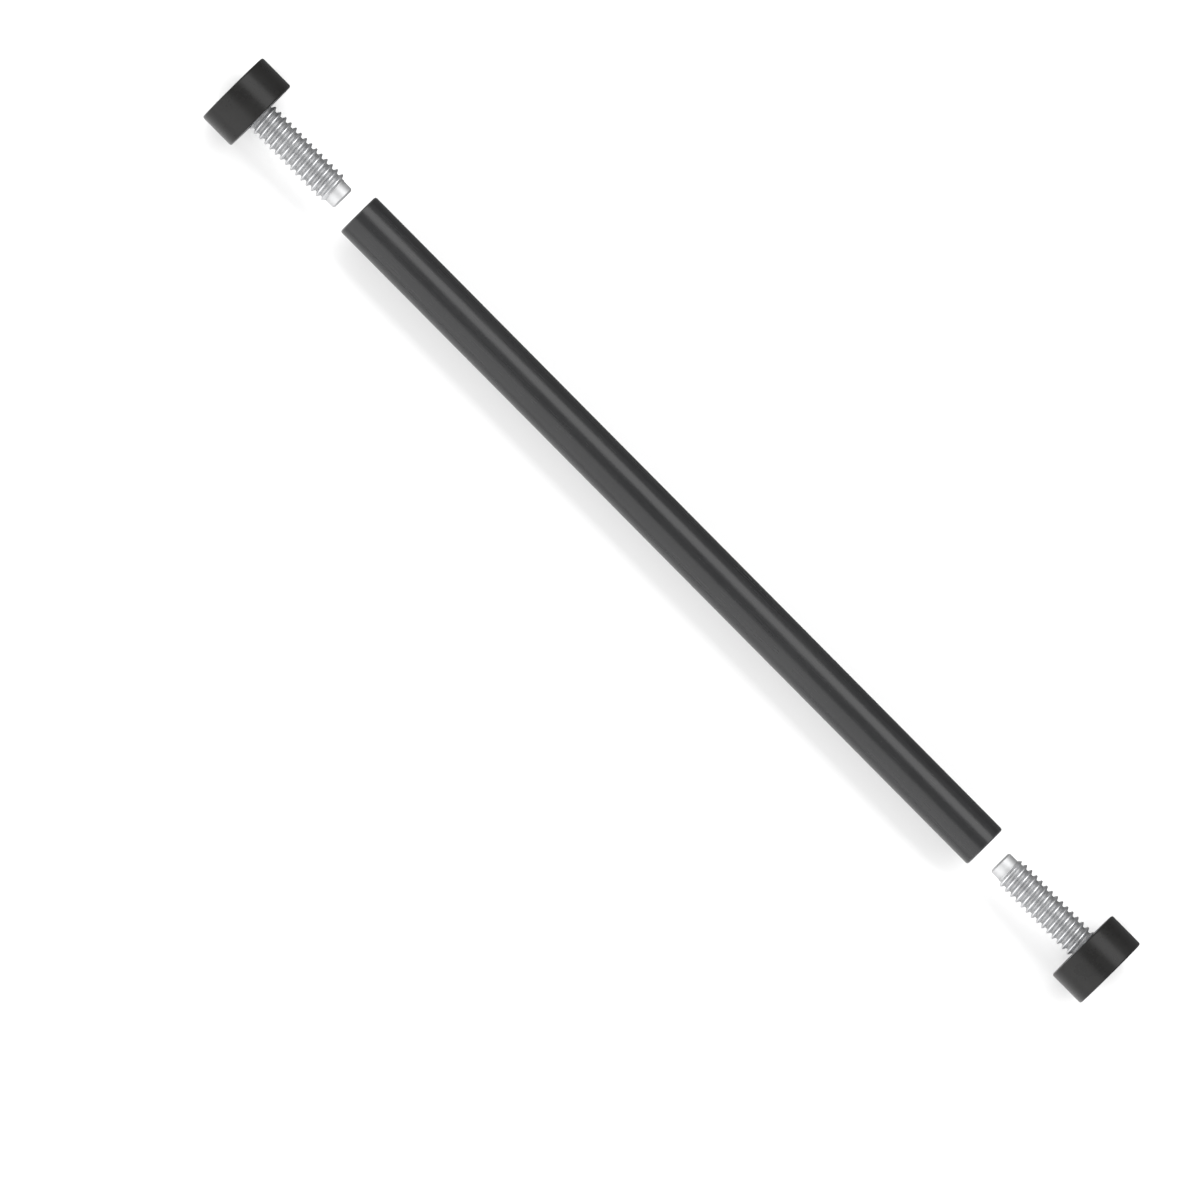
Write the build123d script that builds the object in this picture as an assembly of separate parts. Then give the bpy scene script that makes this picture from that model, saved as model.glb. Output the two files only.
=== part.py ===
from build123d import *
import math
import os

# Bed cargo bar: a round tube with a screw stud and a rubber foot at each end.
# Frame, in millimetres: origin at the middle of the tube, +X along the bar, +Z up.
# At rest each foot and its stud are drawn clear of the tube, on the tube's axis.

# ---- driving dimensions ------------------------------------------------------

# tube
TUBE_LENGTH = 914.4
TUBE_OUTER_D = 50.8
TUBE_WALL = 3.05
TUBE_OUTER_EDGE = 2.4
TUBE_INNER_EDGE = 0.5

# where the feet rest: gap between the tip of the stud and the end of the tube
DRAWN_GAP = 21.6

# stud: one-start right-hand thread with 60 degree flanks
THREAD_MAJOR_D = 35.0
THREAD_ROOT_D = 28.0
THREAD_PITCH = 7.5
THREAD_CREST = 1.3
FLANK_ANGLE = 30.0
THREAD_SINK = 0.6
STUD_REACH = 120.0
TIP_LENGTH = 12.5
TIP_D = 27.0
TIP_CHAMFER = 1.8
THREAD_PAST_FACE = 2.5
NECK_D = 27.2
HEAD_D = 47.2
HEAD_THICKNESS = 9.0
HEAD_CHAMFER = 0.8

# end plug
PLUG_LENGTH = 40.0
PLUG_RECESS = 1.0
PLUG_EDGE = 1.0
THREAD_GAP = 0.3
PLUG_BELL = 1.2

# rubber foot
FOOT_D = 87.0
FOOT_THICKNESS = 41.5
FOOT_EDGE = 2.2

# steel cup in the foot, its washer and its retaining ring
CUP_OUTER_D = 56.0
CUP_BORE_D = 48.0
CUP_DEPTH = 24.5
CUP_FLOOR = 4.0
CUP_LIP_D = 60.0
CUP_LIP = 3.0
CUP_RECESS = 0.4
CUP_MOUTH_CHAMFER = 1.2
WASHER_D = 47.0
WASHER_THICKNESS = 3.0
WASHER_EDGE = 0.2
HEAD_PLAY = 0.2
RING_THICKNESS = 2.0
RING_OUTER_D = 51.2
RING_BORE_D = 42.0
RING_GAP = 9.0
RING_EAR_D = 8.0
RING_EAR_HOLE_D = 2.6
GROOVE_D = 51.6
GROOVE_PLAY = 0.1

# how far a cutting or joining shape runs past its neighbour
OVERSHOOT = 2.0

# ---- derived positions along X, right-hand end -------------------------------

TUBE_END = TUBE_LENGTH / 2
TUBE_BORE_D = TUBE_OUTER_D - 2 * TUBE_WALL
STUD_TIP = TUBE_END + DRAWN_GAP
FOOT_FACE = STUD_TIP + STUD_REACH
FOOT_BACK = FOOT_FACE + FOOT_THICKNESS
THREAD_START = STUD_TIP + TIP_LENGTH
THREAD_END = FOOT_FACE + THREAD_PAST_FACE
CUP_MOUTH = FOOT_FACE + CUP_RECESS
CUP_BACK = CUP_MOUTH + CUP_DEPTH
WASHER_BACK = CUP_BACK - CUP_FLOOR
WASHER_FRONT = WASHER_BACK - WASHER_THICKNESS
HEAD_BACK = WASHER_FRONT - HEAD_PLAY
HEAD_FRONT = HEAD_BACK - HEAD_THICKNESS
RING_BACK = HEAD_FRONT - HEAD_PLAY
RING_FRONT = RING_BACK - RING_THICKNESS

THREAD_DEPTH = (THREAD_MAJOR_D - THREAD_ROOT_D) / 2
FLANK_SLOPE = math.tan(math.radians(FLANK_ANGLE))


# ---- helpers -----------------------------------------------------------------

def round_bar(diameter, start, end, edge=0.0):
    """A solid round bar on the X axis, with the same chamfer on both ends."""
    radius = diameter / 2
    bar = Pos((start + end) / 2, 0, 0) * Rot(0, 90, 0) * Cylinder(radius, end - start)
    if edge > 0:
        bar = chamfer(bar.edges(), edge)
    return bar


def revolved(points):
    """Turn a closed outline of (x, radius) points about the X axis."""
    outline = Polyline(*[(x, radius, 0) for x, radius in points], close=True)
    return revolve(make_face(outline), Axis.X)


def at_end(shape, side):
    """Place a shape made for the right-hand end (+1), or turn it to the left-hand end (-1)."""
    if side < 0:
        return Rot(0, 0, 180) * shape
    return shape


def thread_ridge(corners, turns):
    """The bare spiral ridge, along Z from the origin, from the (radius, height) corners of its section."""
    rise = THREAD_PITCH * turns
    edges = [Pos(0, 0, height) * Edge.make_helix(THREAD_PITCH, rise, radius) for radius, height in corners]
    faces = [Face.make_surface_from_curves(edges[i - 1], edges[i]) for i in range(len(edges))]
    for level in (0, rise):
        end_points = [(radius, 0, height + level) for radius, height in corners]
        faces.append(Face(Wire.make_polygon(end_points, close=True)))
    return Solid(Shell(faces))


def thread_form(start, end, major_radius, root_radius, crest_width):
    """A right-hand threaded bar that covers start to end, on the helix that stud and plug share."""
    first = THREAD_START + THREAD_PITCH * math.floor((start - THREAD_START) / THREAD_PITCH - 1)
    turns = math.ceil((end - first) / THREAD_PITCH) + 1
    base_radius = root_radius - THREAD_SINK
    crest_half = crest_width / 2
    base_half = crest_half + (major_radius - base_radius) * FLANK_SLOPE
    ridge = thread_ridge([(base_radius, -base_half), (major_radius, -crest_half),
                          (major_radius, crest_half), (base_radius, base_half)], turns)
    ridge = Pos(first, 0, 0) * Rot(0, 90, 0) * ridge
    # the core is longer than the ridge, so that the ridge's ends never share a face with it
    return round_bar(2 * root_radius, first - THREAD_PITCH, first + THREAD_PITCH * (turns + 1)) + ridge


# ---- tube and end plugs ------------------------------------------------------

def make_tube():
    """The plain round tube, its outer edges rounded and its bore edges broken."""
    tube = round_bar(TUBE_OUTER_D, -TUBE_END, TUBE_END)
    tube = fillet(tube.edges(), TUBE_OUTER_EDGE)
    tube -= round_bar(TUBE_BORE_D, -TUBE_END, TUBE_END)
    rims = tube.edges().filter_by(GeomType.CIRCLE)
    bore_rims = rims.filter_by(lambda edge: edge.radius < TUBE_BORE_D / 2 + TUBE_INNER_EDGE / 2)
    return chamfer(bore_rims, TUBE_INNER_EDGE)


def make_plug():
    """The threaded plug that is pressed in the tube, just behind its end."""
    outer_end = TUBE_END - PLUG_RECESS
    inner_end = outer_end - PLUG_LENGTH
    plug = round_bar(TUBE_BORE_D, inner_end, outer_end, PLUG_EDGE)
    # the same gap square to the flanks as on the crest and root
    major_radius = THREAD_MAJOR_D / 2 + THREAD_GAP
    root_radius = THREAD_ROOT_D / 2 + THREAD_GAP
    side_gap = THREAD_GAP / math.cos(math.radians(FLANK_ANGLE)) - THREAD_GAP * FLANK_SLOPE
    plug -= thread_form(inner_end, outer_end, major_radius, root_radius, THREAD_CREST + 2 * side_gap)
    # a cone at each mouth leads the thread in
    bell_radius = major_radius + PLUG_BELL
    depth = bell_radius - root_radius
    for end, inward in ((outer_end, -1), (inner_end, 1)):
        plug -= revolved([(end, 0), (end, bell_radius), (end + inward * depth, root_radius),
                          (end + inward * depth, 0)])
    return plug


# ---- screw stud --------------------------------------------------------------

def make_stud():
    """The screw stud: plain tip, coarse thread, neck and the round head that sits in the foot."""
    major_radius = THREAD_MAJOR_D / 2
    root_radius = THREAD_ROOT_D / 2
    thread = thread_form(THREAD_START, THREAD_END, major_radius, root_radius, THREAD_CREST)
    # 45 degree chamfers take the thread down to its root at both ends
    slant = THREAD_DEPTH + OVERSHOOT
    envelope = revolved([
        (THREAD_START, 0),
        (THREAD_START, root_radius),
        (THREAD_START + slant, root_radius + slant),
        (THREAD_END - slant, root_radius + slant),
        (THREAD_END, root_radius),
        (THREAD_END, 0),
    ])
    tip = revolved([
        (STUD_TIP, 0),
        (STUD_TIP, TIP_D / 2 - TIP_CHAMFER),
        (STUD_TIP + TIP_CHAMFER, TIP_D / 2),
        (THREAD_START + OVERSHOOT, TIP_D / 2),
        (THREAD_START + OVERSHOOT, 0),
    ])
    neck = round_bar(NECK_D, THREAD_END - OVERSHOOT, HEAD_FRONT + HEAD_CHAMFER)
    head = round_bar(HEAD_D, HEAD_FRONT, HEAD_BACK, HEAD_CHAMFER)
    return (thread & envelope) + tip + neck + head


# ---- foot --------------------------------------------------------------------

def cup_outline(front=CUP_MOUTH):
    """The outside of the cup: a round body with a wider lip at its mouth."""
    body = round_bar(CUP_OUTER_D, CUP_MOUTH, CUP_BACK)
    lip = round_bar(CUP_LIP_D, front, CUP_MOUTH + CUP_LIP)
    return body + lip


def make_foot():
    """The round rubber foot, moulded round the cup and open at its inner face."""
    foot = round_bar(FOOT_D, FOOT_FACE, FOOT_BACK)
    foot = fillet(foot.edges(), FOOT_EDGE)
    return foot - cup_outline(front=FOOT_FACE - OVERSHOOT)


def make_cup():
    """The steel cup: bore for the stud's head, a groove for the ring and a chamfered mouth."""
    cup = cup_outline()
    cup -= round_bar(CUP_BORE_D, CUP_MOUTH, WASHER_BACK)
    cup -= round_bar(GROOVE_D, RING_FRONT - GROOVE_PLAY, RING_BACK + GROOVE_PLAY)
    mouth_radius = CUP_BORE_D / 2 + CUP_MOUTH_CHAMFER
    cup -= revolved([(CUP_MOUTH, 0), (CUP_MOUTH, mouth_radius),
                     (CUP_MOUTH + CUP_MOUTH_CHAMFER, CUP_BORE_D / 2), (CUP_MOUTH + CUP_MOUTH_CHAMFER, 0)])
    return cup


def make_washer():
    """The thrust washer on the cup's floor, a plain disc."""
    return round_bar(WASHER_D, WASHER_FRONT, WASHER_BACK, WASHER_EDGE)


def make_ring():
    """The retaining ring: a flat ring, open at the top, with a drilled ear on each side of the opening."""
    ring = round_bar(RING_OUTER_D, RING_FRONT, RING_BACK)
    ring -= round_bar(RING_BORE_D, RING_FRONT, RING_BACK)
    ear_radius = (RING_OUTER_D - RING_EAR_D) / 2
    ear_y = (RING_GAP + RING_EAR_D) / 2
    ear_z = math.sqrt(ear_radius**2 - ear_y**2)
    middle = (RING_FRONT + RING_BACK) / 2
    ring -= Pos(middle, 0, ear_radius) * Box(RING_THICKNESS, RING_GAP, RING_OUTER_D / 2)
    for y in (-ear_y, ear_y):
        ring += Pos(0, y, ear_z) * round_bar(RING_EAR_D, RING_FRONT, RING_BACK)
        ring -= Pos(0, y, ear_z) * round_bar(RING_EAR_HOLE_D, RING_FRONT, RING_BACK)
    return ring


# ---- the whole object --------------------------------------------------------

def make_parts():
    """Every piece by its node name."""
    parts = {"tube": make_tube()}
    end_pieces = {
        "plug": make_plug(),
        "stud": make_stud(),
        "foot": make_foot(),
        "cup": make_cup(),
        "washer": make_washer(),
        "ring": make_ring(),
    }
    for side, word in ((-1, "left"), (1, "right")):
        for name, shape in end_pieces.items():
            parts[f"{name}_{word}"] = at_end(shape, side)
    return parts


os.makedirs("parts", exist_ok=True)
for node, shape in make_parts().items():
    export_step(shape, f"parts/{node}.step")
    solids = len(shape.solids())
    print(f"{node}: {solids} solid, {shape.volume / 1000:.1f} cm3, valid {shape.is_valid}")
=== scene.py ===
# %% [markdown]
# # A bed cargo bar, piece by piece
# This lesson rebuilds a cargo bar: the round black bar that is wedged across a truck or trailer bed to stop
# a load from sliding. It is a steel tube with a threaded plug in each end. A zinc plated screw stud goes into
# each plug, and each stud carries a round rubber foot that presses on the side of the bed.
# The measured model is loaded first, as the frame. Everything below is made in its place and in metres.

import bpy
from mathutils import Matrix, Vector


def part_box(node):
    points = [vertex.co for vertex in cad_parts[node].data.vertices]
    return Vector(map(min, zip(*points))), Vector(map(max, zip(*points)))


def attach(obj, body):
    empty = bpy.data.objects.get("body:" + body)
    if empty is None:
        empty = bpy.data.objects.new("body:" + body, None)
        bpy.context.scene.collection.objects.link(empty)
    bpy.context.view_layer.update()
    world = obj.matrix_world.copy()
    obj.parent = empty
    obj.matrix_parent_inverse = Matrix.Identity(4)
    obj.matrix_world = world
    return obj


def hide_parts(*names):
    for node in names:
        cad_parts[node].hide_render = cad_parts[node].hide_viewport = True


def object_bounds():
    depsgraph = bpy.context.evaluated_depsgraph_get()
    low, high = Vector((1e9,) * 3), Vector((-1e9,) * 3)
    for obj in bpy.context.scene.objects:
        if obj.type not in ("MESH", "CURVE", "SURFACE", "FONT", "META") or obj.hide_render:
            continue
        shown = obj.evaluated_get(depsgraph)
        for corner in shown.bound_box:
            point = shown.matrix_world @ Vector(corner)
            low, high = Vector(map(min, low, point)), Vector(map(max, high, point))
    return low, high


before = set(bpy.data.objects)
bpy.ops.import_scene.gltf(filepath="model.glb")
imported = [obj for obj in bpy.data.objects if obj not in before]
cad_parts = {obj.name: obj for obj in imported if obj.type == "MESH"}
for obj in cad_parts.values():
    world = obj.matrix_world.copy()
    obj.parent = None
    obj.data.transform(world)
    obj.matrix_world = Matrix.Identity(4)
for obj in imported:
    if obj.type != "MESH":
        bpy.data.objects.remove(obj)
cad_low, cad_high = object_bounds()
print("measured box in mm:", [round(1000 * v, 1) for v in (*cad_low, *cad_high)])

# %% [markdown]
# ## Tools and sizes
# The bar's own lengths are written in millimetres, as a maker would read them from a drawing, and `MM` turns
# them into Blender's metres. The floor, the lights and the camera are large, so they are given in metres.
#
# The positions along the bar come from the frame, so that a piece always lands where the measured one is.
# The right-hand end is the one that is made: the left-hand end is the same pieces turned half round about the
# upright axis, which keeps the thread right-handed.

# %% libraries and positions along the bar
import math
import bmesh
import bpy
from mathutils import Matrix, Vector

MM = 0.001
ENDS = ("left", "right")


def reach(node, high=True):
    """How far a right-hand node reaches along the bar, in millimetres."""
    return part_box(node)[1 if high else 0].x / MM


TUBE_END = reach("tube")
STUD_TIP = reach("stud_right", high=False)
HEAD_BACK = reach("stud_right")
FOOT_FACE = reach("foot_right", high=False)
FOOT_BACK = reach("foot_right")
PLUG_INNER = reach("plug_right", high=False)
PLUG_OUTER = reach("plug_right")
CUP_MOUTH = reach("cup_right", high=False)
CUP_BACK = reach("cup_right")
RING_FRONT = reach("ring_right", high=False)
RING_BACK = reach("ring_right")
print("tube end", round(TUBE_END, 1), "stud tip", round(STUD_TIP, 1), "foot", round(FOOT_FACE, 1),
      "to", round(FOOT_BACK, 1), "mm from the middle")

# %% distances from the axis
def widest(node):
    """How far a node reaches from the bar's axis, in millimetres."""
    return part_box(node)[1].z / MM


TUBE_R = widest("tube")
BORE_R = widest("plug_right")
HEAD_R = widest("stud_right")
FOOT_R = widest("foot_right")
CUP_LIP_R = widest("cup_right")
print("tube", round(TUBE_R, 1), "bore", round(BORE_R, 1), "foot", round(FOOT_R, 1), "mm in radius")

# %% [markdown]
# ## Shader groups that several finishes share
# A finish looks real when it isn't the same everywhere: paint is a little duller in one place, plate is
# cloudy, an edge is rubbed. Three small node groups give the masks and the heights for that, and each
# material uses them with its own numbers. They read Object coordinates, so a pattern keeps its real size and
# stays on its piece when the piece slides or turns.
#
# `uneven` mixes two sizes of noise, for cloudy colour and gloss. `turned marks` draws the fine rings that a
# lathe leaves, which lie across the bar's axis. `zone` gives a mask that is 1 between two places along the
# bar or between two distances from its axis, with a soft and slightly ragged border.

# %% helpers for node trees
def add(tree, kind, inputs=(), **settings):
    """Adds a node, sets its properties, and fills its inputs with links or numbers by place or by name."""
    node = tree.nodes.new(kind)
    for name, value in settings.items():
        setattr(node, name, value)
    pairs = inputs.items() if isinstance(inputs, dict) else enumerate(inputs)
    for key, value in pairs:
        if isinstance(value, bpy.types.NodeSocket):
            tree.links.new(value, node.inputs[key])
        elif value is not None:
            node.inputs[key].default_value = value
    return node


def calc(tree, operation, *values, clamp=False):
    """One Math node's result, in shaders and in Geometry Nodes alike."""
    return add(tree, "ShaderNodeMath", values, operation=operation, use_clamp=clamp).outputs[0]


def sockets(tree, inputs, outputs):
    """Gives a group its named inputs with their defaults, and its named outputs."""
    for name, (kind, default) in inputs.items():
        socket = tree.interface.new_socket(name, in_out="INPUT", socket_type=kind)
        if default is not None:
            socket.default_value = default
    for name, kind in outputs.items():
        tree.interface.new_socket(name, in_out="OUTPUT", socket_type=kind)
    return tree.nodes.new("NodeGroupInput").outputs, tree.nodes.new("NodeGroupOutput").inputs


NUMBER, WHOLE = "NodeSocketFloat", "NodeSocketInt"
SHAPE, FINISH = "NodeSocketGeometry", "NodeSocketMaterial"

# %% helpers for places and noise
def place_on_piece(tree):
    """Where a point is on its piece, in metres: its Object coordinates."""
    return add(tree, "ShaderNodeTexCoord").outputs["Object"]


def split(tree, place):
    """The x, y and z of a place."""
    return add(tree, "ShaderNodeSeparateXYZ", (place,)).outputs


def off_axis(tree, parts):
    """How far a place is from the bar's axis, worked out from its y and z."""
    across = calc(tree, "POWER", parts[1], 2.0)
    upward = calc(tree, "POWER", parts[2], 2.0)
    return calc(tree, "SQRT", calc(tree, "ADD", across, upward))


def noise_at(tree, place, per_metre, detail):
    """Smooth noise of the given fineness, read at a place."""
    inputs = {"Vector": place, "Scale": per_metre, "Detail": detail}
    return add(tree, "ShaderNodeTexNoise", inputs).outputs[0]


# %% the uneven group
NOISE_LOW, NOISE_HIGH = 0.3, 0.7  # noise hardly ever leaves this range, so it is stretched to 0 to 1
uneven = bpy.data.node_groups.new("uneven", "ShaderNodeTree")
given, result = sockets(
    uneven,
    {"Broad per metre": (NUMBER, 20.0), "Fine per metre": (NUMBER, 300.0), "Fine share": (NUMBER, 0.4),
     "Stretch": (NUMBER, 1.0)},
    {"Amount": NUMBER},
)
along = calc(uneven, "DIVIDE", 1.0, given["Stretch"])
scale = add(uneven, "ShaderNodeCombineXYZ", (along, 1.0, 1.0)).outputs[0]
place = place_on_piece(uneven)
stretched = add(uneven, "ShaderNodeVectorMath", (place, scale), operation="MULTIPLY").outputs[0]
broad = noise_at(uneven, stretched, given["Broad per metre"], 3.0)
fine = noise_at(uneven, stretched, given["Fine per metre"], 4.0)
mixed = add(uneven, "ShaderNodeMix", {0: given["Fine share"], 2: broad, 3: fine}).outputs[0]
spread = add(uneven, "ShaderNodeMapRange", {0: mixed, 1: NOISE_LOW, 2: NOISE_HIGH}).outputs[0]
uneven.links.new(spread, result["Amount"])
print("made the group", uneven.name)

# %% the turned marks group
turned_marks = bpy.data.node_groups.new("turned marks", "ShaderNodeTree")
given, result = sockets(
    turned_marks,
    {"Rings per metre": (NUMBER, 2500.0), "Broken up": (NUMBER, 6.0), "Radial": (NUMBER, 0.0)},
    {"Height": NUMBER},
)
parts = split(turned_marks, place_on_piece(turned_marks))
radius = off_axis(turned_marks, parts)
chosen = add(turned_marks, "ShaderNodeMix", {0: given["Radial"], 2: parts[0], 3: radius}).outputs[0]
step = calc(turned_marks, "MULTIPLY", chosen, given["Rings per metre"])
turn = calc(turned_marks, "ARCTAN2", parts[1], parts[2])
waver = calc(turned_marks, "COSINE", calc(turned_marks, "MULTIPLY", turn, given["Broken up"]))
lines = add(turned_marks, "ShaderNodeCombineXYZ", (step, waver, 0.0)).outputs[0]
turned_marks.links.new(noise_at(turned_marks, lines, 1.0, 2.0), result["Height"])
print("made the group", turned_marks.name)

# %% the zone group
zone = bpy.data.node_groups.new("zone", "ShaderNodeTree")
given, result = sockets(
    zone,
    {"Radial": (NUMBER, 0.0), "From": (NUMBER, 0.0), "To": (NUMBER, 1.0), "Soft": (NUMBER, 0.0005),
     "Ragged": (NUMBER, 0.0005), "Ragged per metre": (NUMBER, 900.0)},
    {"Mask": NUMBER},
)
place = place_on_piece(zone)
parts = split(zone, place)
from_middle = calc(zone, "ABSOLUTE", parts[0])
from_axis = off_axis(zone, parts)
chosen = add(zone, "ShaderNodeMix", {0: given["Radial"], 2: from_middle, 3: from_axis}).outputs[0]
ragged = calc(zone, "SUBTRACT", noise_at(zone, place, given["Ragged per metre"], 3.0), 0.5)
moved = calc(zone, "ADD", chosen, calc(zone, "MULTIPLY", ragged, given["Ragged"]))
rise = calc(zone, "DIVIDE", calc(zone, "SUBTRACT", moved, given["From"]), given["Soft"], clamp=True)
fall = calc(zone, "DIVIDE", calc(zone, "SUBTRACT", given["To"], moved), given["Soft"], clamp=True)
zone.links.new(calc(zone, "MULTIPLY", rise, fall), result["Mask"])
print("made the group", zone.name)

# %% [markdown]
# ## Finishes
# Each finish is one material on the Principled shader. The helpers start a material, place a shared group in
# it, and mix between two values with a mask. The order of the layers follows the real surface: the bare
# metal or rubber first, then its unevenness, then wear and grime, and the bump last.

# %% material helpers
def start_finish(name, **shader_settings):
    """A new material with one Principled shader, whose plain numbers are set on its own sockets."""
    material = bpy.data.materials.new(name)
    material.use_nodes = True
    tree = material.node_tree
    shader = tree.nodes["Principled BSDF"]
    for socket, value in shader_settings.items():
        shader.inputs[socket.replace("_", " ")].default_value = value
    return material, tree, shader


def use(tree, group, output, **numbers):
    """A shared group in this material, with its own numbers; spaces in input names are written as _."""
    node = add(tree, "ShaderNodeGroup", node_tree=group)
    for name, value in numbers.items():
        node.inputs[name.replace("_", " ")].default_value = value
    return node.outputs[output]


def between(tree, mask, low, high):
    """A number that goes from low to high with the mask."""
    return add(tree, "ShaderNodeMapRange", {0: mask, 3: low, 4: high}).outputs[0]


# %% colour, wear and bump
def tint(tree, mask, low, high):
    """A colour that goes from low to high with the mask; either may be a colour or another node's output."""
    mix = add(tree, "ShaderNodeMix", data_type="RGBA")
    for slot, value in ((0, mask), (6, low), (7, high)):
        if isinstance(value, bpy.types.NodeSocket):
            tree.links.new(value, mix.inputs[slot])
        else:
            mix.inputs[slot].default_value = (*value, 1.0)
    return mix.outputs[2]


def share(tree, mask, part):
    """A mask or height at part of its strength."""
    return calc(tree, "MULTIPLY", mask, part)


def feed(tree, shader, colour, roughness):
    """Feeds the shader its colour and its roughness."""
    tree.links.new(colour, shader.inputs["Base Color"])
    tree.links.new(roughness, shader.inputs["Roughness"])


def bump(tree, shader, *layers):
    """Stacks bump layers of (height, depth in metres) and feeds the shader's normal."""
    normal = None
    for height, depth in layers:
        node = add(tree, "ShaderNodeBump", {"Distance": depth, "Height": height, "Normal": normal})
        normal = node.outputs[0]
    tree.links.new(normal, shader.inputs["Normal"])


# %% [markdown]
# ### Black powder coat, for the tube
# Powder coat is baked on as a thin plastic skin. It is satin, not glossy, and has a shallow orange-peel
# texture a millimetre or two across. Handling leaves faint dull streaks along the tube. The rim at each
# end is painted lighter, a painted highlight where its rounded edge mirrors the pale room.

# %% black powder coat
RIM_HIGHLIGHT_FROM, RIM_HIGHLIGHT_TO = TUBE_END - 1.8, TUBE_END + 9
powder_coat, tree, shader = start_finish("black_powder_coat", Specular_IOR_Level=0.32)
cloud = use(tree, uneven, "Amount", Broad_per_metre=9.0, Fine_per_metre=140.0, Fine_share=0.35)
streak = use(tree, uneven, "Amount", Broad_per_metre=60.0, Fine_per_metre=500.0, Fine_share=0.5, Stretch=14.0)
peel = noise_at(tree, place_on_piece(tree), 520.0, 2.0)
# painted highlight: a lighter band at each end of the tube, standing for the room mirrored in its rounded
# edge
rim_highlight = use(tree, zone, "Mask", From=RIM_HIGHLIGHT_FROM * MM, To=RIM_HIGHLIGHT_TO * MM, Soft=1.4 * MM, Ragged=1.6 * MM)
black = tint(tree, cloud, (0.0095, 0.0097, 0.0102), (0.0150, 0.0152, 0.0158))
black = tint(tree, share(tree, streak, 0.25), black, (0.03, 0.03, 0.031))
# the painted highlight turns the black towards grey at the tube's ends
black = tint(tree, share(tree, rim_highlight, 0.5), black, (0.12, 0.12, 0.123))
dull = calc(tree, "ADD", between(tree, cloud, 0.21, 0.27), share(tree, streak, 0.05))
feed(tree, shader, black, dull)
bump(tree, shader, (peel, 0.05 * MM), (streak, 0.01 * MM))
print("made", powder_coat.name)

# %% [markdown]
# ### Bright zinc plate, for the studs
# Zinc plate on a cut thread is pale and slightly cloudy, with the cutting tool's fine rings under it. The
# plug rubs the crests of the thread, so they are smoother, and the steel shows through a little greyer
# there. The roots are darker: a little dull oil and dust, and painted shade in the grooves. The plain tip is
# painted near white, a painted highlight where it catches the light.

# %% bright zinc plate
ROOT_GRIME_AND_SHADE_R, CREST_WEAR_R, PAST_THE_CREST_R = 14.7, 16.6, 20.0
TIP_HIGHLIGHT_FADES_OUT = STUD_TIP + 24
zinc_plate, tree, shader = start_finish("bright_zinc_plate", Metallic=1.0)
cloud = use(tree, uneven, "Amount", Broad_per_metre=170.0, Fine_per_metre=900.0, Fine_share=0.4)
rings = use(tree, turned_marks, "Height", Rings_per_metre=5200.0, Broken_up=3.0)
# mask for the thread roots: a little real oil and dust, and painted shade in the grooves
root_grime_and_shade = use(tree, zone, "Mask", Radial=1.0, From=0.0, To=ROOT_GRIME_AND_SHADE_R * MM, Soft=0.7 * MM, Ragged=0.9 * MM)
crest_wear = use(tree, zone, "Mask", Radial=1.0, From=CREST_WEAR_R * MM, To=PAST_THE_CREST_R * MM,
                 Soft=0.8 * MM, Ragged=0.5 * MM)
# mask for the plain tip: a painted highlight, whitening it where it catches the light
tip_highlight = use(tree, zone, "Mask", From=0.0, To=TIP_HIGHLIGHT_FADES_OUT * MM, Soft=16 * MM, Ragged=2.0 * MM)
plate = tint(tree, cloud, (0.36, 0.365, 0.375), (0.68, 0.685, 0.695))
# the roots darkened: part dust, part painted shade
plate = tint(tree, share(tree, root_grime_and_shade, 0.7), plate, (0.20, 0.20, 0.20))
plate = tint(tree, share(tree, crest_wear, 0.5), plate, (0.50, 0.50, 0.505))
# the tip whitened: a painted highlight
plate = tint(tree, share(tree, tip_highlight, 0.4), plate, (0.80, 0.805, 0.81))
dull = calc(tree, "ADD", between(tree, cloud, 0.44, 0.56), share(tree, root_grime_and_shade, 0.10))
dull = calc(tree, "SUBTRACT", dull, share(tree, crest_wear, 0.12))
feed(tree, shader, plate, dull)
bump(tree, shader, (rings, 0.02 * MM), (cloud, 0.12 * MM))
print("made", zinc_plate.name)

# %% [markdown]
# ### Turned steel and bronze, for the plugs and what is inside the feet
# These pieces are cut on a lathe, so rings run round them, and their flat faces carry the same rings as
# circles. One function makes the finish for all of them. The plug's is darker than the cup's, because it is
# bare and oiled, the washer is bronze, and the retaining ring is dark spring steel.

# %% turned metal, four times
LATHE = {"Rings_per_metre": 4200.0, "Broken_up": 2.0}
GRIME_SHADE, DULLER = 0.45, 0.16


def turned_metal(name, dark, light, roughness, grime=0.3):
    """Metal with lathe rings on its round and flat faces, cloudy colour, and grime in patches."""
    material, tree, shader = start_finish(name, Metallic=1.0)
    cloud = use(tree, uneven, "Amount", Broad_per_metre=60.0, Fine_per_metre=700.0, Fine_share=0.5)
    patch = use(tree, uneven, "Amount", Broad_per_metre=160.0, Fine_per_metre=1500.0, Fine_share=0.3)
    on_round = use(tree, turned_marks, "Height", **LATHE)
    on_flat = use(tree, turned_marks, "Height", **LATHE, Radial=1.0)
    grimy = tuple(GRIME_SHADE * v for v in dark)
    colour = tint(tree, share(tree, patch, grime), tint(tree, cloud, dark, light), grimy)
    feed(tree, shader, colour, between(tree, patch, roughness, roughness + DULLER))
    bump(tree, shader, (on_round, 0.015 * MM), (on_flat, 0.015 * MM))
    print("made", name)
    return material


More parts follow.
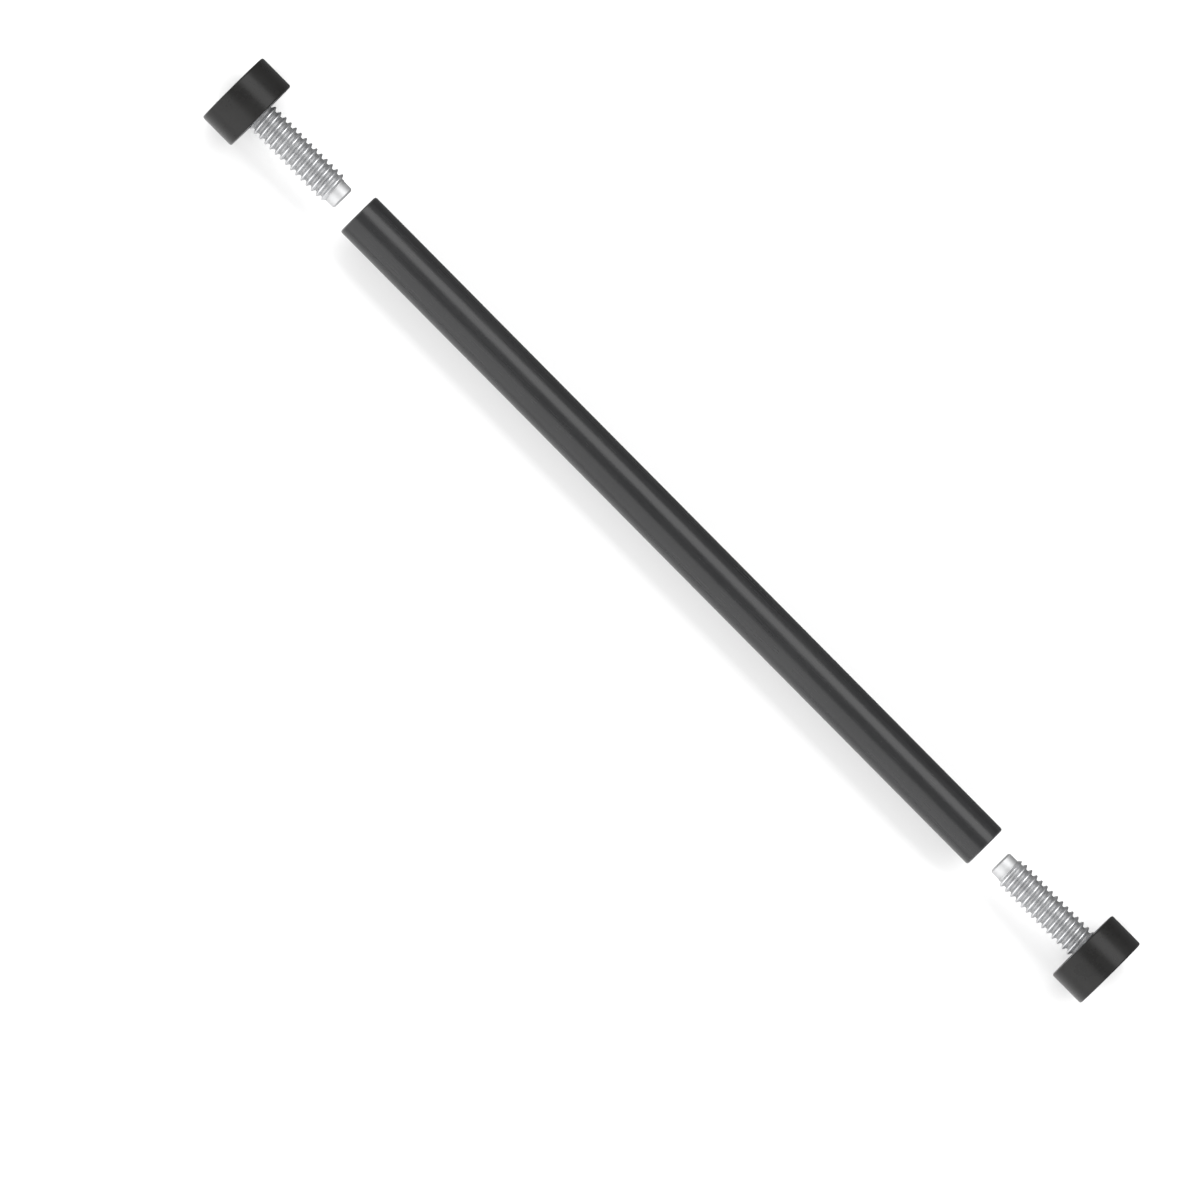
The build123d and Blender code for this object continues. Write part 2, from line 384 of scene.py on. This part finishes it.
plug_steel = turned_metal("oiled_plug_steel", (0.30, 0.30, 0.31), (0.46, 0.46, 0.47), 0.28)
cup_steel = turned_metal("turned_cup_steel", (0.52, 0.53, 0.55), (0.68, 0.69, 0.71), 0.26)
washer_bronze = turned_metal("bearing_bronze", (0.42, 0.26, 0.11), (0.62, 0.42, 0.20), 0.30)
spring_steel = turned_metal("dark_spring_steel", (0.07, 0.07, 0.075), (0.12, 0.12, 0.125), 0.42, grime=0.15)

# %% [markdown]
# ### Moulded black rubber, for the feet
# Rubber is matte and a warm near-black. A mould leaves a fine grain, a greyish bloom in patches, and a
# slightly rubbed edge. The bloom changes colour and roughness, and the rubbed edge is only a little shinier.

# %% moulded black rubber
RUBBED_R, PAST_THE_FOOT_R = 42.7, 44.5
moulded_rubber, tree, shader = start_finish("moulded_black_rubber", Specular_IOR_Level=0.18)
bloom = use(tree, uneven, "Amount", Broad_per_metre=28.0, Fine_per_metre=260.0, Fine_share=0.3)
grain = noise_at(tree, place_on_piece(tree), 1500.0, 3.0)
rubbed = use(tree, zone, "Mask", Radial=1.0, From=RUBBED_R * MM, To=PAST_THE_FOOT_R * MM,
             Soft=0.5 * MM, Ragged=0.8 * MM)
rubber = tint(tree, bloom, (0.0085, 0.0083, 0.0081), (0.0145, 0.0142, 0.0139))
dull = calc(tree, "SUBTRACT", between(tree, bloom, 0.27, 0.36), share(tree, rubbed, 0.03))
feed(tree, shader, rubber, dull)
bump(tree, shader, (grain, 0.04 * MM), (bloom, 0.05 * MM))
print("made", moulded_rubber.name)

# %% [markdown]
# ## Turned pieces
# Almost every piece of this bar is round, so it could be a stack of cylinders. Real turned and moulded
# pieces have rounded corners, though, and those corners catch the light. So each piece is drawn as an
# outline of points, distance along the bar and distance from the axis, and its corners are eased with small
# arcs. The outline is then carried round the axis.
#
# A smooth-shaded mesh blends its shading from point to point. So each arc gets one more point just past each
# of its ends: the blend stays at the corner, and the long straight stretch beyond it is shaded as straight.

# %% an outline with eased corners
ARC_STEPS = 5
GUARD = 0.25  # how far past the arc's end the extra point lies, as a share of the cut corner


def eased(corners, closed=True):
    """Rounds an outline's corners. A corner is (along, radius) or (along, radius, easing), in millimetres."""
    points = []
    count = len(corners)
    for i, corner in enumerate(corners):
        here = Vector(corner[:2])
        easing = corner[2] if len(corner) > 2 else 0.0
        at_end = not closed and i in (0, count - 1)
        if easing <= 0 or at_end:
            points.append(here)
            continue
        before = (Vector(corners[i - 1][:2]) - here).normalized()
        after = (Vector(corners[(i + 1) % count][:2]) - here).normalized()
        half = before.angle(after) / 2
        cut = easing / math.tan(half)
        centre = here + (before + after).normalized() * easing / math.sin(half)
        first, last = here + before * cut - centre, here + after * cut - centre
        sweep = first.angle_signed(last)
        turns = [Matrix.Rotation(-sweep * step / ARC_STEPS, 2) for step in range(ARC_STEPS + 1)]
        points.append(here + before * cut * (1 + GUARD))
        points.extend(centre + turn @ first for turn in turns)
        points.append(here + after * cut * (1 + GUARD))
    return points


# %% carry the outline round the axis
ON_AXIS = 1e-6  # nearer than this to the axis, in millimetres, a whole ring is one point


def carried_round(outline, segments, closed=True):
    """Carries an outline round the bar's axis and returns the mesh in bmesh form, open or closed."""
    shell = bmesh.new()
    rows = []
    for point in outline:
        if point.y < ON_AXIS:
            rows.append([shell.verts.new((point.x * MM, 0, 0))] * segments)
            continue
        row = []
        for k in range(segments):
            angle = 2 * math.pi * k / segments
            row.append(shell.verts.new((point.x * MM, point.y * MM * math.sin(angle),
                                        -point.y * MM * math.cos(angle))))
        rows.append(row)
    pairs = list(zip(rows, rows[1:])) + ([(rows[-1], rows[0])] if closed else [])
    for a, b in pairs:
        for k in range(segments):
            n = (k + 1) % segments
            ring = list(dict.fromkeys((a[k], a[n], b[n], b[k])))
            if len(ring) > 2:
                shell.faces.new(ring)
    return shell


# %% finish a mesh
WELD = 0.002 * MM
SHARP_DEGREES = 32


def finished_mesh(shell, name):
    """Turns a bmesh into a mesh with outward faces, smooth shading and crisp edges."""
    bmesh.ops.remove_doubles(shell, verts=shell.verts, dist=WELD)
    bmesh.ops.recalc_face_normals(shell, faces=shell.faces)
    mesh = bpy.data.meshes.new(name)
    shell.to_mesh(mesh)
    shell.free()
    for face in mesh.polygons:
        face.use_smooth = True
    mesh.set_sharp_from_angle(angle=math.radians(SHARP_DEGREES))
    return mesh


# %% placing a finished piece
HALF_TURN = Matrix.Rotation(math.pi, 4, "Z")


def place_piece(mesh, name, material, body, node):
    """Puts a finished mesh in the scene, riding on its body in the stead of its measured node."""
    mesh.materials.clear()
    mesh.materials.append(material)
    piece = bpy.data.objects.new(name, mesh)
    bpy.context.scene.collection.objects.link(piece)
    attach(piece, body)
    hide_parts(node)
    print(name, "has", len(mesh.polygons), "faces")


def place_both_ends(mesh, name, material, body, node):
    """Places a right-hand mesh at the right, and a copy turned half round at the left."""
    for end in ENDS:
        copy = mesh.copy()
        if end == "left":
            copy.transform(HALF_TURN)
        place_piece(copy, f"{name}_{end}", material, body.format(end), node.format(end))
    bpy.data.meshes.remove(mesh)


# %% [markdown]
# ## The tube
# A straight length of round steel tube, coated black. Its outer edges are rounded by the deburring wheel
# and the thick coat, and the bore's edges are only broken. The outline is the wall seen in section.

# %% turn the tube
TUBE_EDGE, BORE_EDGE, TUBE_SIDES = 2.4, 0.5, 144
wall = [(-TUBE_END, TUBE_R, TUBE_EDGE), (TUBE_END, TUBE_R, TUBE_EDGE), (TUBE_END, BORE_R, BORE_EDGE),
        (-TUBE_END, BORE_R, BORE_EDGE)]
tube = finished_mesh(carried_round(eased(wall), TUBE_SIDES), "tube")
place_piece(tube, "coated_tube", powder_coat, "bar", "tube")

# %% [markdown]
# ## The screw thread
# A screw thread follows a rule: the same tooth is carried round the axis while it climbs by one pitch in
# each turn. That is a job for Geometry Nodes. A flat grid is rolled up: its columns go round the axis, and
# its rows climb the bar, each column starting a little further along than the last, so that the rows follow
# the thread and its crests come out crisp. Each point's distance from the axis comes from its place on the
# tooth: flat crest, sloping flank, flat root, with the corners blended as a cutting tool leaves them.
#
# The same tree cuts both threads. On the stud the tooth is held under a cone at each end, which makes the
# lead-in. In the plug it is held outside a cone, which makes the bell mouth. Points past the ends fall
# together on one circle, so the thread joins the turned blank there and the seam closes.

# %% the thread tree and its inputs
thread_tree = bpy.data.node_groups.new("cut a screw thread", "GeometryNodeTree")
given, result = sockets(
    thread_tree,
    {"Blank": (SHAPE, None), "Pitch": (NUMBER, 0.0075), "Crest radius": (NUMBER, 0.0175),
     "Root radius": (NUMBER, 0.0140), "Crest width": (NUMBER, 0.0013), "Blend": (NUMBER, 0.0005),
     "Phase": (NUMBER, 0.0), "Start": (NUMBER, 0.0), "End": (NUMBER, 0.1), "Inside": (NUMBER, 0.0),
     "Mouth radius": (NUMBER, 0.0140), "Rows per turn": (WHOLE, 30), "Columns": (WHOLE, 96),
     "Finish": (FINISH, None)},
    {"Screw": SHAPE},
)
gn = thread_tree
print("the thread tree has", len(given) - 1, "inputs")

# %% [markdown]
# A grid has one more line of points than it has strips of faces, so one is added to its rows and to its
# columns. Two spare turns are added to its length, so that it reaches past both ends of the thread.

# %% the flat sheet
SPARE_TURNS = 2.0
from_phase = calc(gn, "SUBTRACT", given["Start"], given["Phase"])
first_turn = calc(gn, "FLOOR", calc(gn, "DIVIDE", from_phase, given["Pitch"]))
length_in_turns = calc(gn, "DIVIDE", calc(gn, "SUBTRACT", given["End"], given["Start"]), given["Pitch"])
turns = calc(gn, "ADD", calc(gn, "CEIL", length_in_turns), SPARE_TURNS)
rows = calc(gn, "ADD", calc(gn, "MULTIPLY", turns, given["Rows per turn"]), 1.0)
columns = calc(gn, "ADD", given["Columns"], 1.0)
sheet = add(gn, "GeometryNodeMeshGrid", {"Size X": 1.0, "Size Y": 1.0, "Vertices X": rows,
                                         "Vertices Y": columns})
flat = split(gn, add(gn, "GeometryNodeInputPosition").outputs[0])
climb = calc(gn, "MULTIPLY", calc(gn, "ADD", flat[0], 0.5), turns)
round_share = calc(gn, "ADD", flat[1], 0.5)
print("the sheet has", SPARE_TURNS, "spare turns")

# %% [markdown]
# Each point now gets its place along the bar and its place on the tooth, which runs from minus half a pitch
# to plus half a pitch. The flanks of this thread stand at 60 degrees to each other, so each leans by 30.

# %% the tooth
FLANK_SLOPE = math.tan(math.radians(30))
row_turns = calc(gn, "ADD", calc(gn, "ADD", climb, round_share), calc(gn, "SUBTRACT", first_turn, 1.0))
free_x = calc(gn, "ADD", calc(gn, "MULTIPLY", row_turns, given["Pitch"]), given["Phase"])
held_x = calc(gn, "MINIMUM", calc(gn, "MAXIMUM", free_x, given["Start"]), given["End"])
off_crest = calc(gn, "MULTIPLY", calc(gn, "ABSOLUTE", calc(gn, "WRAP", climb, 0.5, -0.5)), given["Pitch"])
off_flat = calc(gn, "SUBTRACT", off_crest, calc(gn, "MULTIPLY", given["Crest width"], 0.5))
flank = calc(gn, "SUBTRACT", given["Crest radius"], calc(gn, "DIVIDE", off_flat, FLANK_SLOPE))
with_root = calc(gn, "SMOOTH_MAX", flank, given["Root radius"], given["Blend"])
tooth = calc(gn, "SMOOTH_MIN", with_root, given["Crest radius"], given["Blend"])
print("a flank rises", round(1 / FLANK_SLOPE, 2), "mm in each mm along the bar")

# %% the cones at the two ends
# a stud's tooth is kept under them, a plug's tooth over them
from_start = calc(gn, "SUBTRACT", held_x, given["Start"])
from_finish = calc(gn, "SUBTRACT", given["End"], held_x)
depth = calc(gn, "MINIMUM", from_start, from_finish)
outside = calc(gn, "MINIMUM", tooth, calc(gn, "ADD", given["Mouth radius"], depth))
inside = calc(gn, "MAXIMUM", tooth, calc(gn, "SUBTRACT", given["Mouth radius"], depth))
radius = add(gn, "ShaderNodeMix", {0: given["Inside"], 2: outside, 3: inside}).outputs[0]
print("up to the cones the thread tree has", len(gn.nodes), "nodes")

# %% roll up the sheet, weld it to the blank and finish
SEAM_WELD = 0.01 * MM
angle = calc(gn, "MULTIPLY", round_share, 2 * math.pi)
across = calc(gn, "MULTIPLY", radius, calc(gn, "SINE", angle))
upward = calc(gn, "MULTIPLY", calc(gn, "MULTIPLY", radius, calc(gn, "COSINE", angle)), -1.0)
rolled = add(gn, "ShaderNodeCombineXYZ", (held_x, across, upward)).outputs[0]
screw = add(gn, "GeometryNodeSetPosition", {"Geometry": sheet.outputs["Mesh"], "Position": rolled}).outputs[0]
together = add(gn, "GeometryNodeJoinGeometry")
gn.links.new(screw, together.inputs[0])
gn.links.new(given["Blank"], together.inputs[0])
welded = add(gn, "GeometryNodeMergeByDistance", {"Geometry": together.outputs[0], "Distance": SEAM_WELD})
real = add(gn, "GeometryNodeRealizeInstances", {"Geometry": welded.outputs[0]})
coloured = add(gn, "GeometryNodeSetMaterial", {"Geometry": real.outputs[0], "Material": given["Finish"]})
gn.links.new(coloured.outputs[0], result["Screw"])
print("the thread tree has", len(gn.nodes), "nodes")


# %% run the tree on a turned blank
def cut_thread(blank, name, **numbers):
    """Runs the thread tree on a turned blank and returns one welded mesh with outward faces."""
    holder = bpy.data.objects.new(name, blank)
    bpy.context.scene.collection.objects.link(holder)
    modifier = holder.modifiers.new("cut", "NODES")
    modifier.node_group = thread_tree
    names = {item.name: item.identifier for item in thread_tree.interface.items_tree
             if item.item_type == "SOCKET" and item.in_out == "INPUT"}
    for word, value in numbers.items():
        modifier[names[word.replace("_", " ")]] = value
    graph = bpy.context.evaluated_depsgraph_get()
    cut = bpy.data.meshes.new_from_object(holder.evaluated_get(graph))
    holder.modifiers.remove(modifier)
    bpy.data.objects.remove(holder)
    shell = bmesh.new()
    shell.from_mesh(cut)
    bmesh.ops.dissolve_degenerate(shell, edges=shell.edges, dist=WELD)
    open_edges = sum(1 for edge in shell.edges if len(edge.link_faces) != 2)
    print(name, "open edges after welding:", open_edges)
    return finished_mesh(shell, name)


def joined(*shells):
    """Several bmesh shells in one plain mesh."""
    whole = bpy.data.meshes.new("blank")
    combined = bmesh.new()
    for shell in shells:
        part = bpy.data.meshes.new("part")
        shell.to_mesh(part)
        shell.free()
        combined.from_mesh(part)
        bpy.data.meshes.remove(part)
    combined.to_mesh(whole)
    combined.free()
    return whole


# %% [markdown]
# ## The screw studs
# The stud is turned first: a plain tip that finds the hole, and at the other end a narrow neck and the round
# head that sits in the foot. The thread between them is then cut by the tree, right-handed, one start.
# The blank is left open where the thread joins it, with the same number of points round each rim.

# %% the stud's sizes
PITCH = 7.5
THREAD_COLUMNS = 96
STUD_CREST_R, STUD_ROOT_R, STUD_CREST_WIDTH, STUD_BLEND = 17.5, 14.0, 1.3, 0.5
TIP_LENGTH, TIP_R, TIP_CHAMFER, TIP_EDGE = 12.5, 13.5, 1.8, 0.5
NECK_R, HEAD_THICKNESS, HEAD_EDGE = 13.6, 9.0, 0.8
THREAD_START = STUD_TIP + TIP_LENGTH
THREAD_END = FOOT_FACE + 2.5
HEAD_FRONT = HEAD_BACK - HEAD_THICKNESS
print("thread from", round(THREAD_START, 1), "to", round(THREAD_END, 1), "mm,", 2 * STUD_CREST_R, "mm over")

# %% turn and cut the studs
tip = [(STUD_TIP, 0), (STUD_TIP, TIP_R - TIP_CHAMFER, TIP_EDGE), (STUD_TIP + TIP_CHAMFER, TIP_R, TIP_EDGE),
       (THREAD_START, TIP_R), (THREAD_START, STUD_ROOT_R)]
head = [(THREAD_END, STUD_ROOT_R), (THREAD_END, NECK_R), (HEAD_FRONT, NECK_R, HEAD_EDGE),
        (HEAD_FRONT, HEAD_R, HEAD_EDGE), (HEAD_BACK, HEAD_R, HEAD_EDGE), (HEAD_BACK, 0)]
blank = joined(*(carried_round(eased(outline, closed=False), THREAD_COLUMNS, closed=False)
                 for outline in (tip, head)))
stud = cut_thread(
    blank, "screw_stud", Pitch=PITCH * MM, Crest_radius=STUD_CREST_R * MM, Root_radius=STUD_ROOT_R * MM,
    Crest_width=STUD_CREST_WIDTH * MM, Blend=STUD_BLEND * MM, Phase=THREAD_START * MM,
    Start=THREAD_START * MM, End=THREAD_END * MM, Inside=0.0, Mouth_radius=STUD_ROOT_R * MM,
    Rows_per_turn=30, Columns=THREAD_COLUMNS, Finish=zinc_plate)
place_both_ends(stud, "screw_stud", zinc_plate, "stud_{}", "stud_{}")

# %% [markdown]
# ## The end plugs
# The plug is the nut that the stud screws into. It is pressed in the tube just behind its end, so only its
# face and its bell mouth show. It is the same thread, cut inside, 0.3 mm larger all round so that it runs.

# %% turn and cut the plugs
PLUG_CREST_R, PLUG_ROOT_R, PLUG_CREST_WIDTH, PLUG_BLEND = 17.8, 14.3, 1.65, 0.4
BELL_R, PLUG_EDGE = 19.0, 1.0
plug_wall = [(PLUG_OUTER, BELL_R), (PLUG_OUTER, BORE_R, PLUG_EDGE), (PLUG_INNER, BORE_R, PLUG_EDGE),
             (PLUG_INNER, BELL_R)]
blank = joined(carried_round(eased(plug_wall, closed=False), THREAD_COLUMNS, closed=False))
plug = cut_thread(
    blank, "threaded_plug", Pitch=PITCH * MM, Crest_radius=PLUG_CREST_R * MM, Root_radius=PLUG_ROOT_R * MM,
    Crest_width=PLUG_CREST_WIDTH * MM, Blend=PLUG_BLEND * MM, Phase=THREAD_START * MM,
    Start=PLUG_INNER * MM, End=PLUG_OUTER * MM, Inside=1.0, Mouth_radius=BELL_R * MM,
    Rows_per_turn=24, Columns=THREAD_COLUMNS, Finish=plug_steel)
place_both_ends(plug, "threaded_plug", plug_steel, "bar", "plug_{}")

# %% [markdown]
# ## The rubber feet
# Each foot is a thick round pad, moulded round a steel cup. The edges are rounded as rubber comes out of a
# mould, the outer face is flat so that it seats on a bed wall, and a thin raised line marks where the two
# halves of the mould met. The outline runs round the rubber in section, cup pocket and all.

# %% mould the feet
CUP_R, CUP_LIP = 28.0, 3.0
FOOT_EDGE, POCKET_EDGE, FOOT_SIDES = 2.2, 0.3, 160
SEAM_HEIGHT, SEAM_HALF_WIDTH, SEAM_GUARD = 0.12, 0.4, 0.8
mid = (FOOT_FACE + FOOT_BACK) / 2
side = FOOT_R - SEAM_HEIGHT
rubber_outline = [
    (CUP_MOUTH + CUP_LIP, CUP_LIP_R), (FOOT_FACE, CUP_LIP_R, POCKET_EDGE), (FOOT_FACE, side, FOOT_EDGE),
    (mid - SEAM_GUARD, side), (mid - SEAM_HALF_WIDTH, side), (mid, FOOT_R),
    (mid + SEAM_HALF_WIDTH, side), (mid + SEAM_GUARD, side),
    (FOOT_BACK, side, FOOT_EDGE), (FOOT_BACK, 0), (CUP_BACK, 0), (CUP_BACK, CUP_R),
    (CUP_MOUTH + CUP_LIP, CUP_R)]
foot = finished_mesh(carried_round(eased(rubber_outline), FOOT_SIDES), "rubber_foot")
place_both_ends(foot, "rubber_foot", moulded_rubber, "foot_{}", "foot_{}")

# %% [markdown]
# ## Cup, washer and retaining ring
# The cup holds the stud's head and has a groove for the retaining ring. Its outline is a cup in section. The
# washer under the head is hidden, and the ring is a thin flat stamping with square edges, so both keep their
# measured shapes and only get their finishes.

# %% turn the cups
CUP_BORE_R, GROOVE_R, GROOVE_PLAY = 24.0, 25.8, 0.1
CUP_FLOOR, CUP_CHAMFER, CUP_EDGE, CUP_BACK_EDGE, CUP_SIDES = 4.0, 1.2, 0.3, 1.0, 128
groove_back, groove_front = RING_BACK + GROOVE_PLAY, RING_FRONT - GROOVE_PLAY
cup_outline = [
    (CUP_MOUTH, CUP_BORE_R + CUP_CHAMFER, CUP_EDGE), (CUP_MOUTH, CUP_LIP_R, CUP_EDGE),
    (CUP_MOUTH + CUP_LIP, CUP_LIP_R, CUP_EDGE), (CUP_MOUTH + CUP_LIP, CUP_R),
    (CUP_BACK, CUP_R, CUP_BACK_EDGE), (CUP_BACK, 0), (CUP_BACK - CUP_FLOOR, 0),
    (CUP_BACK - CUP_FLOOR, CUP_BORE_R), (groove_back, CUP_BORE_R), (groove_back, GROOVE_R),
    (groove_front, GROOVE_R), (groove_front, CUP_BORE_R),
    (CUP_MOUTH + CUP_CHAMFER, CUP_BORE_R, CUP_EDGE)]
cup = finished_mesh(carried_round(eased(cup_outline), CUP_SIDES), "steel_cup")
place_both_ends(cup, "steel_cup", cup_steel, "foot_{}", "cup_{}")

# %% give the measured washers and rings their finish
for end in ENDS:
    for node, material in (("washer", washer_bronze), ("ring", spring_steel)):
        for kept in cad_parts[f"{node}_{end}"].material_slots:
            kept.material = material
        print(f"{node}_{end} keeps its measured shape, with", material.name)

# %% [markdown]
# ## Floor, light and camera
# The bar lies on a pale floor, seen from straight above through a very long lens, so that both feet show
# their sides and not their faces. A black tube is drawn by what it mirrors. One long soft panel on the far
# side gives the narrow bright band, and a wider one on the near side gives the even grey. The gap between
# them, overhead, is the dark band along the middle. Both panels are large and far away, so that they light
# the whole floor evenly.
#
# A studio would lay a dark card beside the bar to draw its far edge dark. Here the floor does it: the camera
# sees it pale all over, but a ray that has left the bar finds it dark on the far side. The room works in the
# same way: it is plain white where the camera sees it, and dimmer where it gives light.

# %% the floor and its paper
FLOOR_SIZE, SOFT_BORDER = 160.0, 0.05
FLOOR_PALE, FLOOR_IN_MIRROR = 0.84, 0.15
half = FLOOR_SIZE / 2
floor_mesh = bpy.data.meshes.new("floor")
corners = [(x * half, y * half, cad_low.z) for x, y in ((-1, -1), (1, -1), (1, 1), (-1, 1))]
floor_mesh.from_pydata(corners, [], [(0, 1, 2, 3)])
floor = bpy.data.objects.new("floor", floor_mesh)
bpy.context.scene.collection.objects.link(floor)
paper, tree, shader = start_finish("pale_floor", Roughness=0.9, Specular_IOR_Level=0.0)
to_far_side = split(tree, place_on_piece(tree))[1]
mirrored = add(tree, "ShaderNodeMapRange", {0: to_far_side, 1: -SOFT_BORDER, 2: SOFT_BORDER,
                                            3: FLOOR_PALE, 4: FLOOR_IN_MIRROR}).outputs[0]
straight = add(tree, "ShaderNodeLightPath").outputs["Is Camera Ray"]
shade = add(tree, "ShaderNodeMix", {0: straight, 2: mirrored, 3: FLOOR_PALE}).outputs[0]
tree.links.new(shade, shader.inputs["Base Color"])
floor_mesh.materials.append(paper)
print("floor", FLOOR_SIZE, "m wide, at", round(cad_low.z / MM, 1), "mm")

# %% the room's own light
ROOM_LIGHT, SEEN_BACKDROP = 0.62, 1.0
world = bpy.data.worlds.new("studio")
world.use_nodes = True
room = world.node_tree
seen = add(room, "ShaderNodeLightPath").outputs["Is Camera Ray"]
room.nodes["Background"].inputs["Color"].default_value = (1.0, 1.0, 1.0, 1.0)
room.links.new(between(room, seen, ROOM_LIGHT, SEEN_BACKDROP), room.nodes["Background"].inputs["Strength"])
bpy.context.scene.world = world
print("the room gives", ROOM_LIGHT, "and is seen as", SEEN_BACKDROP)


# %% the two soft panels
def soft_panel(name, off_zenith, width, radiance, distance=12.0, length=32.0):
    """A long soft light beside the bar, in metres and degrees from straight up, facing the bar."""
    light = bpy.data.lights.new(name, "AREA")
    light.shape = "RECTANGLE"
    light.size, light.size_y = length, width
    light.energy = radiance * math.pi * width * length
    panel = bpy.data.objects.new(name, light)
    turn = math.radians(off_zenith)
    panel.location = (0.0, distance * math.sin(turn), distance * math.cos(turn))
    panel.rotation_euler = (-turn, 0.0, 0.0)
    panel.visible_camera = False
    bpy.context.scene.collection.objects.link(panel)
    print(name, "stands", distance, "m away,", off_zenith, "degrees from overhead")


soft_panel("far_side_panel", off_zenith=43.0, width=8.0, radiance=3.4)
soft_panel("near_side_panel", off_zenith=-55.0, width=16.0, radiance=1.9)

# %% camera
VIEW_WIDTH, CAMERA_HEIGHT, SENSOR = 1.2316, 40.0, 36.0
VIEW_MOVED_LEFT, VIEW_MOVED_DOWN = 0.0734, 0.0713
ROLL = math.radians(45.27)
camera_data = bpy.data.cameras.new("overhead")
camera_data.sensor_width = SENSOR
camera_data.lens = SENSOR * CAMERA_HEIGHT / VIEW_WIDTH
camera_data.clip_end = 2 * CAMERA_HEIGHT
camera = bpy.data.objects.new("overhead", camera_data)
right = Vector((math.cos(ROLL), math.sin(ROLL), 0))
up = Vector((-math.sin(ROLL), math.cos(ROLL), 0))
camera.location = -right * VIEW_MOVED_LEFT - up * VIEW_MOVED_DOWN + Vector((0, 0, CAMERA_HEIGHT))
camera.rotation_euler = (0, 0, ROLL)
bpy.context.scene.collection.objects.link(camera)
bpy.context.scene.camera = camera
bpy.context.scene.view_settings.view_transform = "Standard"
print("a", round(camera_data.lens), "mm lens,", CAMERA_HEIGHT, "m up")
